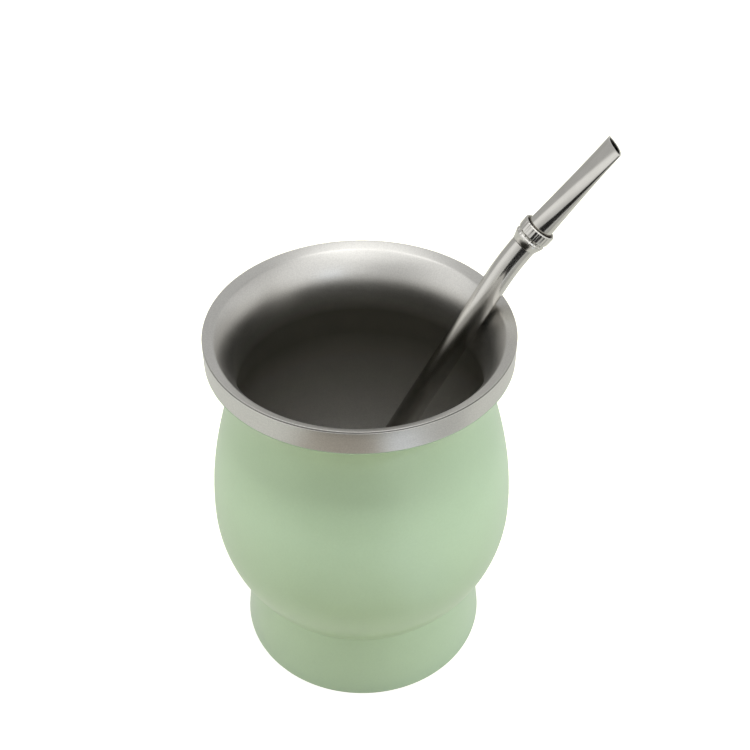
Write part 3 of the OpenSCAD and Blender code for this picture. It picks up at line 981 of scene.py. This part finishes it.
def tent_glow(tree):
    """Brightness of the light tent, as TENT and PATCHES give it."""
    where = place(tree, "ShaderNodeTexCoord").outputs["Object"]
    way = place(tree, "ShaderNodeVectorMath", {0: where}, operation="NORMALIZE").outputs[0]
    x, y, z = apart(tree, way)
    turn = plus(tree, times(tree, reckon(tree, "ARCTAN2", y, x), 0.5 / pi), 0.5)
    ramp = place(tree, "ShaderNodeValToRGB", {0: turn})
    stops = ramp.color_ramp.elements
    for i, (azimuth, glow) in enumerate((*TENT, (180, TENT[0][1]))):
        at = azimuth / 360 + 0.5
        stop = stops[i] if i in (0, len(TENT)) else stops.new(at)
        stop.position, stop.color = at, (glow / 2, glow / 2, glow / 2, 1.0)
    bright = times(tree, ramp.outputs[0], 2.0)
    for middle, wide, narrow, gain in PATCHES:
        near = place(tree, "ShaderNodeVectorMath", {0: way, 1: Vector(middle).normalized()},
                     operation="DOT_PRODUCT").outputs["Value"]
        patch = place(tree, "ShaderNodeMapRange", {
            "Value": near, "From Min": cos(radians(wide)), "From Max": cos(radians(narrow)),
            "To Min": 0.0, "To Max": gain}, interpolation_type="SMOOTHSTEP").outputs[0]
        bright = plus(tree, bright, patch)
    return bright


def card(name, corners, rgb, faces=((0, 1, 2, 3),), glow=None):
    """A card beside the object that only reflections see."""
    mesh = bpy.data.meshes.new(name)
    mesh.from_pydata(corners, [], faces)
    material = bpy.data.materials.new(name)
    tree = emptied(material)
    lit = place(tree, "ShaderNodeEmission", {
        "Color": (*rgb, 1.0), "Strength": glow(tree) if glow else 1.0})
    place(tree, "ShaderNodeOutputMaterial", {"Surface": lit.outputs[0]})
    mesh.materials.append(material)
    thing = added(name, mesh)
    thing.visible_camera = thing.visible_shadow = thing.visible_diffuse = False


def cards():
    """The flat cards and the upright ones."""
    for name, (box, rgb) in (*FLAT_CARDS.items(), *UPRIGHT_CARDS.items()):
        u0, v0, u1, v1, w = (value * MM for value in box)
        upright = name in UPRIGHT_CARDS
        card(name, [(u, w, v) if upright else (u, v, w)
                    for u, v in ((u0, v0), (u1, v0), (u1, v1), (u0, v1))], rgb)


def tent():
    """A large dome around the stage, for the metal to reflect."""
    steps, turns = 12, 48
    points = [(TENT_R * cos(h) * cos(a), TENT_R * cos(h) * sin(a), TENT_R * sin(h))
              for h in (pi / 2 * i / steps for i in range(steps))
              for a in (2 * pi * j / turns for j in range(turns))] + [(0.0, 0.0, TENT_R)]
    faces = [(i * turns + j, i * turns + (j + 1) % turns, (i + 1) * turns + (j + 1) % turns,
              (i + 1) * turns + j) for i in range(steps - 1) for j in range(turns)]
    faces += [((steps - 1) * turns + j, (steps - 1) * turns + (j + 1) % turns, len(points) - 1)
              for j in range(turns)]
    card("tent", points, (1.0, 1.0, 0.985), faces, tent_glow)


def lamp(name, where, size, power, tint=(1.0, 1.0, 1.0)):
    """A soft square lamp that faces the cup."""
    light = bpy.data.lights.new(name, "AREA")
    light.shape, light.size, light.energy, light.color = "SQUARE", size, power, tint
    thing = added(name, light)
    spot = Vector(where)
    aim = (AIM - spot).to_track_quat("-Z", "Y")
    thing.matrix_world = Matrix.Translation(spot) @ aim.to_matrix().to_4x4()
    thing.visible_glossy = False


def seen_ray(tree):
    """1 for a ray that shows the background: from the camera, off metal or through glass."""
    path = place(tree, "ShaderNodeLightPath").outputs
    both = reckon(tree, "MAXIMUM", path["Is Camera Ray"], path["Is Glossy Ray"])
    return reckon(tree, "MAXIMUM", both, path["Is Transmission Ray"])


class MATE_OT_stage(Operator):
    """Set the camera, the floor, the lamps and the cards"""

    bl_idname = "mate.stage"
    bl_label = "Stage"

    def execute(self, context):
        scene, stage = context.scene, context.scene.mate_stage
        scene.view_settings.view_transform = "Standard"

        pitch, yaw, roll = (radians(turn) for turn in CAMERA_TURN)
        forward = Vector((sin(yaw) * cos(pitch), cos(yaw) * cos(pitch), -sin(pitch)))
        right = forward.cross(Vector((0.0, 0.0, 1.0))).normalized()
        up = right.cross(forward)
        across = cos(roll) * right + sin(roll) * up
        above = cos(roll) * up - sin(roll) * right
        view = bpy.data.cameras.new("camera")
        view.lens, view.sensor_width, view.sensor_fit = stage.lens, SENSOR, "HORIZONTAL"
        view.clip_start = 10 * MM
        camera = added("camera", view)
        camera.matrix_world = Matrix.Translation(CAMERA_AT) @ Matrix(
            (across, above, -forward)).transposed().to_4x4()
        scene.camera = camera

        scene.world = bpy.data.worlds.new("surroundings")
        tree = emptied(scene.world)
        strength = reckon(tree, "MAXIMUM", seen_ray(tree), stage.ambient)
        glow = place(tree, "ShaderNodeBackground", {"Color": (1.0, 1.0, 1.0, 1.0),
                                                    "Strength": strength})
        place(tree, "ShaderNodeOutputWorld", {"Surface": glow.outputs[0]})

        mesh = bpy.data.meshes.new("floor")
        mesh.from_pydata([(x * FLOOR_HALF, y * FLOOR_HALF, 0.0)
                          for x, y in ((-1, -1), (1, -1), (1, 1), (-1, 1))], [], [(0, 1, 2, 3)])
        material = bpy.data.materials.new("pale_floor")
        tree = emptied(material)
        matt_floor_or_shaded_steel = place(tree, "ShaderNodeBsdfDiffuse", {"Color": (*stage.floor_colour, 1.0)})
        shine = place(tree, "ShaderNodeEmission", {
            "Color": (1.0, 1.0, 1.0, 1.0),
            "Strength": times(tree, seen_ray(tree), FLOOR_GLOW)})
        both = place(tree, "ShaderNodeAddShader", {0: matt_floor_or_shaded_steel.outputs[0], 1: shine.outputs[0]})
        place(tree, "ShaderNodeOutputMaterial", {"Surface": both.outputs[0]})
        mesh.materials.append(material)
        floor = added("floor", mesh)

        tent()
        cards()
        lamp("overhead", (0.0, -0.05, 0.95), 0.27, stage.overhead)
        for name, (where, size, part, tint) in SIDE_LAMPS.items():
            lamp(name, where, size, part * stage.side, tint)
        return {"FINISHED"}


PIECES = (MATE_OT_shell, MATE_OT_lining, MATE_OT_plate, MATE_OT_tube, MATE_OT_collar,
          MATE_OT_mouthpiece, MATE_OT_strainer, MATE_OT_stage)


class MATE_PT_panel(Panel):
    """Lists the pieces of the mate cup"""

    bl_idname = "MATE_PT_panel"
    bl_label = "Mate Cup"
    bl_space_type = "VIEW_3D"
    bl_region_type = "UI"
    bl_category = "Mate Cup"

    def draw(self, context):
        for piece in PIECES:
            self.layout.operator(piece.bl_idname)
        for group in GROUPS:
            values = getattr(context.scene, group)
            box = self.layout.box()
            for name in values.bl_rna.properties.keys():
                if name not in ("rna_type", "name"):
                    box.prop(values, name)


CLASSES = (MateCupSizes, DrinkingTubeSizes, MateCupFinishes, MateCupStage, *PIECES,
           MATE_PT_panel)
GROUPS = {"mate_sizes": MateCupSizes, "mate_tube": DrinkingTubeSizes,
          "mate_finishes": MateCupFinishes, "mate_stage": MateCupStage}


def register():
    for one in CLASSES:
        bpy.utils.register_class(one)
    for name, group in GROUPS.items():
        setattr(bpy.types.Scene, name, PointerProperty(type=group))


def unregister():
    for name in GROUPS:
        delattr(bpy.types.Scene, name)
    for one in reversed(CLASSES):
        bpy.utils.unregister_class(one)


def main():
    register()
    for piece in PIECES:
        group, name = piece.bl_idname.split(".")
        getattr(getattr(bpy.ops, group), name)()


if __name__ == "__main__":
    main()
